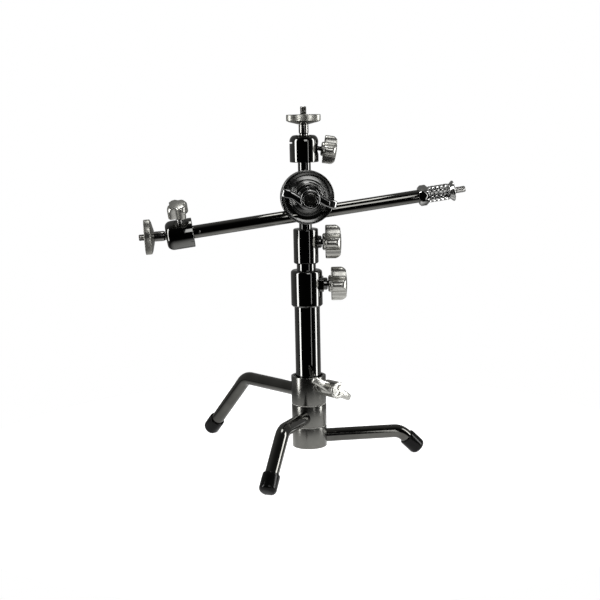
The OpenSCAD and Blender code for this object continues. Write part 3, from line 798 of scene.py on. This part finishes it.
def grip_head():
    """Block on the rod with its cap, the two grooved discs that grip the arm, and the washer."""
    _, back, front = size_along("receiver", HEAD)
    block = lathe([(0, back), (14, back, 1.2), (14, 9.8, 0.6), (22, 10.3, 0.5), (22, front, 0.5), (0, front)])
    piece("receiver", Shape().add(block), HEAD,
          cutters=[placed(rod(7.5, -20, 20, 0, 48), turned_by(90, "X"))])
    radius, start, end = size_along("receiver_cap", HEAD)
    piece("receiver_cap", Shape().add(lathe([(0, start + 0.5), (3.2, start + 0.5, 0.3), (3.8, start, 0.3),
                                             (radius, start, 0.5), (radius, end), (0, end)])), HEAD)
    radius, start, end = size_along("rear_jaw", HEAD)
    pocket = end - SPRING_POCKET_DEPTH
    disc = [(BOLT_BORE, start), (20, start, 0.6), (25, start + 2.2, 0.8), (radius, start + 3.4, 0.6),
            (radius, end, 0.5), (SPRING_POCKET_R, end), (SPRING_POCKET_R, pocket), (BOLT_BORE, pocket)]
    piece("rear_jaw", Shape().add(lathe(disc, 0.3, True, 128)), HEAD, cutters=[arm_cutter()])
    radius, start, end = size_along("front_jaw", HEAD)
    pocket = start + SPRING_POCKET_DEPTH
    dish = [(BOLT_BORE, pocket), (SPRING_POCKET_R, pocket), (SPRING_POCKET_R, start), (radius, start, 0.5),
            (radius, 30.8, 0.5), (radius - 0.6, 31.2, 0.4), (radius - 1.1, 31.2, 0.3),
            (radius - 1.7, 29.7, 0.5), (21.5, 29.0, 3), (17.6, 29.6, 1.0), (16.4, 31.0, 0.4),
            (15.4, 31.2, 0.4), (14.4, end, 0.4), (BOLT_BORE, end)]
    piece("front_jaw", Shape().add(lathe(dish, 0.3, True, 128)), HEAD, cutters=[arm_cutter()])
    radius, start, end = size_along("thrust_washer", HEAD)
    piece("thrust_washer", Shape().add(tube(radius, BOLT_BORE, start, end, 0.5)), HEAD)


def wing_handle():
    """Handle: stepped skirt, hollow boss, and two swept wings that run off it like an S."""
    _, start, end = size_along("wing_handle", HEAD)
    recess = end - HANDLE_RECESS_DEPTH
    boss = lathe([(BOLT_BORE, start), (13.2, start, 0.4), (13.2, start + 1.9, 0.4), (10.7, start + 2.7, 0.6),
                  (10.2, start + 7, 2), (9.4, start + 12, 3), (9.4, end, 1.2), (7.2, end, 0.5),
                  (HANDLE_RECESS_R, end - 1, 0.3), (HANDLE_RECESS_R, recess), (BOLT_BORE, recess)],
                 0.3, True, 96)
    shape = Shape().add(boss)
    wing = loft([(2, 2.6, 47.5, 4.6, 3.8), (7, 3.2, 47.5, 4.4, 4.2), (11, 2.0, 47.5, 4.0, 4.3),
                 (15.5, 0.2, 47.5, 3.8, 4.2), (19.5, -0.5, 47.3, 3.9, 4.0), (23, -0.6, 46.6, 4.0, 3.4),
                 (26, -0.6, 45.6, 3.7, 2.6), (27.1, -0.6, 45.2, 2.0, 1.4)], square=4)
    for side in (0, 180):
        shape.add(wing, turned_by(HANDLE_TURN_DEG + side))
    piece("wing_handle", shape, HEAD, sharp=40, cutters=[rod(HANDLE_RECESS_R, recess, end + 5, 0, 64)])
    radius, start, end = size_along("bolt_end_screw", HEAD)
    head = lathe([(0, start), (2, start), (2, end - 2.6), (5.8, end - 2.6, 0.3), (radius, end - 2.2, 0.3),
                  (radius, end, 0.6), (0, end)])
    socket = [circle(3.2, z, 6) for z in (end - 1.9, end + 2)]
    piece("bolt_end_screw", Shape().add(head), HEAD, cutters=[skin(socket)])


grip_head()
wing_handle()

# ---------- cross arm ----------

ARM_R, ARM_START, ARM_END = size_along("arm_tube", ARM)
_, SPIGOT_START, SPIGOT_END = size_along("spigot", ARM)
HEX_R, HEX_LENGTH, HEX_CHAMFER = 10.2, 8.7, 1.7
KNURL_R, FLARE_R, FLARE_LENGTH = 8.0, 10.1, 4.5
NECK_R = 7.1
# camera stud: thread pitch, and how much shorter the visible stud is than the CAD stud
STUD_PITCH, STUD_SHRINK = 1.27, 0.1


def hexagon_blank():
    """A turned, chamfered blank whose radius is held in by six flats."""
    face_r = HEX_R - HEX_CHAMFER
    verts, faces = lathe([(0, 0), (face_r, 0), (HEX_R, HEX_CHAMFER), (HEX_R, HEX_LENGTH - HEX_CHAMFER),
                          (face_r, HEX_LENGTH), (0, HEX_LENGTH)], 0, sides=96)
    cut = []
    for x, y, z in verts:
        r, a = math.hypot(x, y), math.atan2(y, x)
        off = (a + math.pi / 6) % (math.pi / 3) - math.pi / 6
        limit = HEX_R * math.cos(math.pi / 6) / math.cos(off)
        share = min(1, limit / r) if r else 1
        cut.append((x * share, y * share, z))
    return cut, faces


def cross_arm():
    """Tube with its roll pins, and the spigot: hexagon, neck, knurled section, flare and stud."""
    piece("arm_tube", Shape().add(tube(ARM_R, ARM_R - WALL, ARM_START, ARM_END, 0.4, 72)), ARM)
    pins = Shape()
    for end in (ARM_START + 6, ARM_END - 6):
        pin = lathe([(0, -ARM_R - 0.15), (0.9, -ARM_R - 0.12), (1.25, -ARM_R + 0.3), (1.25, ARM_R - 0.3),
                     (0.9, ARM_R + 0.12), (0, ARM_R + 0.15)], 0.1, sides=24)
        pins.add(pin, at(end) @ turned_by(90, "Y"))
    piece("arm_pins", pins, ARM)
    spigot = Shape().add(hexagon_blank(), at(ARM_END))
    hex_end, knurl_end = ARM_END + HEX_LENGTH, SPIGOT_END - FLARE_LENGTH
    spigot.add(rod(ARM_R - WALL, SPIGOT_START, ARM_END + 1))
    spigot.add(rod(NECK_R, hex_end - 0.5, hex_end + 1, 0.1))
    spigot.add(knurled(KNURL_R, hex_end + 0.6, knurl_end))
    root_r = NECK_R + 0.1
    flare = [(0, knurl_end - 0.5), (root_r, knurl_end - 0.5), (root_r, knurl_end + 0.2),
             (FLARE_R - 0.2, knurl_end + 3.3, 0.4), (FLARE_R, SPIGOT_END, 0.5), (0, SPIGOT_END)]
    spigot.add(lathe(flare, 0.3))
    piece("spigot", spigot, ARM, sharp=30)
    radius, start, end = size_along("spigot_stud", ARM)
    piece("spigot_stud", Shape().add(threaded(radius, start, end - STUD_SHRINK, STUD_PITCH)), ARM)


cross_arm()

# ---------- ball heads ----------

HOUSING_R, MOUTH_R, SEAT_R = 14.2, 8.9, 7.9
SHOULDER_WIDTH, SHOULDER_DEPTH = 5.0, 6.4
SLIT_DEPTH, SLIT_LOW, SLIT_HIGH = 2.6, 1.0, 2.7
SPOT_FACE_R, SPOT_FACE_DEPTH, HEAD_HOLE_R = 5.6, 0.8, 2.5
BALL_R, BALL_NECK_R, STEM_R, STUD_R = 9.5, 4.2, 4.85, 3.175


def ball_head(prefix, place, tilted, lock):
    """Small ball head: body with a slit and a screw hole, ball with its stud, and the disc.

    Both frames start at the ball's centre; +Z is the body's axis in place and the stem's in tilted."""
    _, low, high = size_along(prefix + "_housing", place)
    shoulder = [(HOUSING_R - SHOULDER_WIDTH * (1 - math.cos(math.radians(a))),
                 high - SHOULDER_DEPTH * (1 - math.sin(math.radians(a))), 0) for a in range(0, 91, 9)]
    body = [(0, low), (HOUSING_R, low, 0.7), *shoulder, (MOUTH_R, high, 0.1), (SEAT_R, 5.6, 0.3),
            (SEAT_R, 4, 0.3), (0, 4)]
    slit_x = HOUSING_R - SLIT_DEPTH
    slit = [[(slit_x, -20, z), (30, -20, z), (30, 20, z), (slit_x, 20, z)] for z in (SLIT_LOW, SLIT_HIGH)]
    to_lock = in_mm(place).inverted() @ in_mm(lock)
    slit_side = math.degrees(math.atan2(to_lock[1][2], to_lock[0][2])) + 180
    piece(prefix + "_housing", Shape().add(lathe(body, 0.4, sides=96)), place,
          cutters=[placed(skin(slit), turned_by(slit_side)),
                   placed(rod(SPOT_FACE_R, HOUSING_R - SPOT_FACE_DEPTH, 40, 0, 48), to_lock),
                   placed(rod(HEAD_HOLE_R, 9, 40, 0, 32), to_lock)])
    _, _, stud_end = size_along(prefix + "_ball_stem", tilted)
    _, disc_start, disc_end = size_along(prefix + "_platform", tilted)
    ball = [(0, -BALL_R)] + [(BALL_R * math.cos(math.radians(a)), BALL_R * math.sin(math.radians(a)))
                             for a in range(-84, 64, 6)]
    ball += [(BALL_NECK_R, 9.1), (BALL_NECK_R, high + 1.2), (STEM_R, high + 2.4),
             (STEM_R, disc_start - 0.2), (0, disc_start - 0.2)]
    stem = Shape().add(lathe(ball, 0.3, sides=72))
    stem.add(threaded(STUD_R, disc_start - 0.3, stud_end - STUD_SHRINK, STUD_PITCH))
    piece(prefix + "_ball_stem", stem, tilted)
    platform(prefix + "_platform", tilted, disc_start, disc_end)


def platform(node, place, start, end):
    """Disc with a domed underside, a finely serrated rim and a shallow ring cut in its face."""
    radius = size_along(node, place)[0]
    teeth, tooth_depth, sides = 90, 0.2, 360

    def serrated(a, r):
        depth = tooth_depth * max(0, min(1, (r - radius + 1.2) / 0.8))
        return r - depth * (0.5 + 0.5 * math.cos(teeth * a))

    bore = STUD_R + 0.05
    face = end - 0.35
    outline = rounded([(bore, start), (6, start, 1), (14.4, start + 2.1, 3), (radius, start + 3.4, 0.6),
                       (radius, end, 0.7), (13.5, end, 0.2), (13.2, face, 0.2), (9.0, face, 0.2),
                       (8.7, end, 0.2), (bore, end)], 0.3, True)
    rings = [circle(lambda a, r=r: serrated(a, r), z, sides) for r, z in outline]
    piece(node, Shape().add(skin(rings, True)), place, sharp=30)


# width and length compared with a collar knob, and turn of the lobes
KNOBS = {"top": (0.82, 0.82, 0), "arm": (0.65, 0.82, 45)}
ARM_STEM = joint_frame("arm_plate_spin", UP)
for head, head_place, stem_place in (("top", TOP_BALL, TOP_BALL), ("arm", ARM_BALL, ARM_STEM)):
    head_lock = joint_frame(head + "_lock_knob_turn", UP)
    ball_head(head, head_place, stem_place, head_lock)
    star_knob(head + "_lock_knob", head_lock, *KNOBS[head])
    screw(head + "_lock_screw", head_lock)

# every CAD node that stays gets its slot's material
for node_name, node_object in frame["nodes"].items():
    node_object.data.materials.clear()
    node_object.data.materials.append(MATERIALS[SLOT_OF[node_name]])
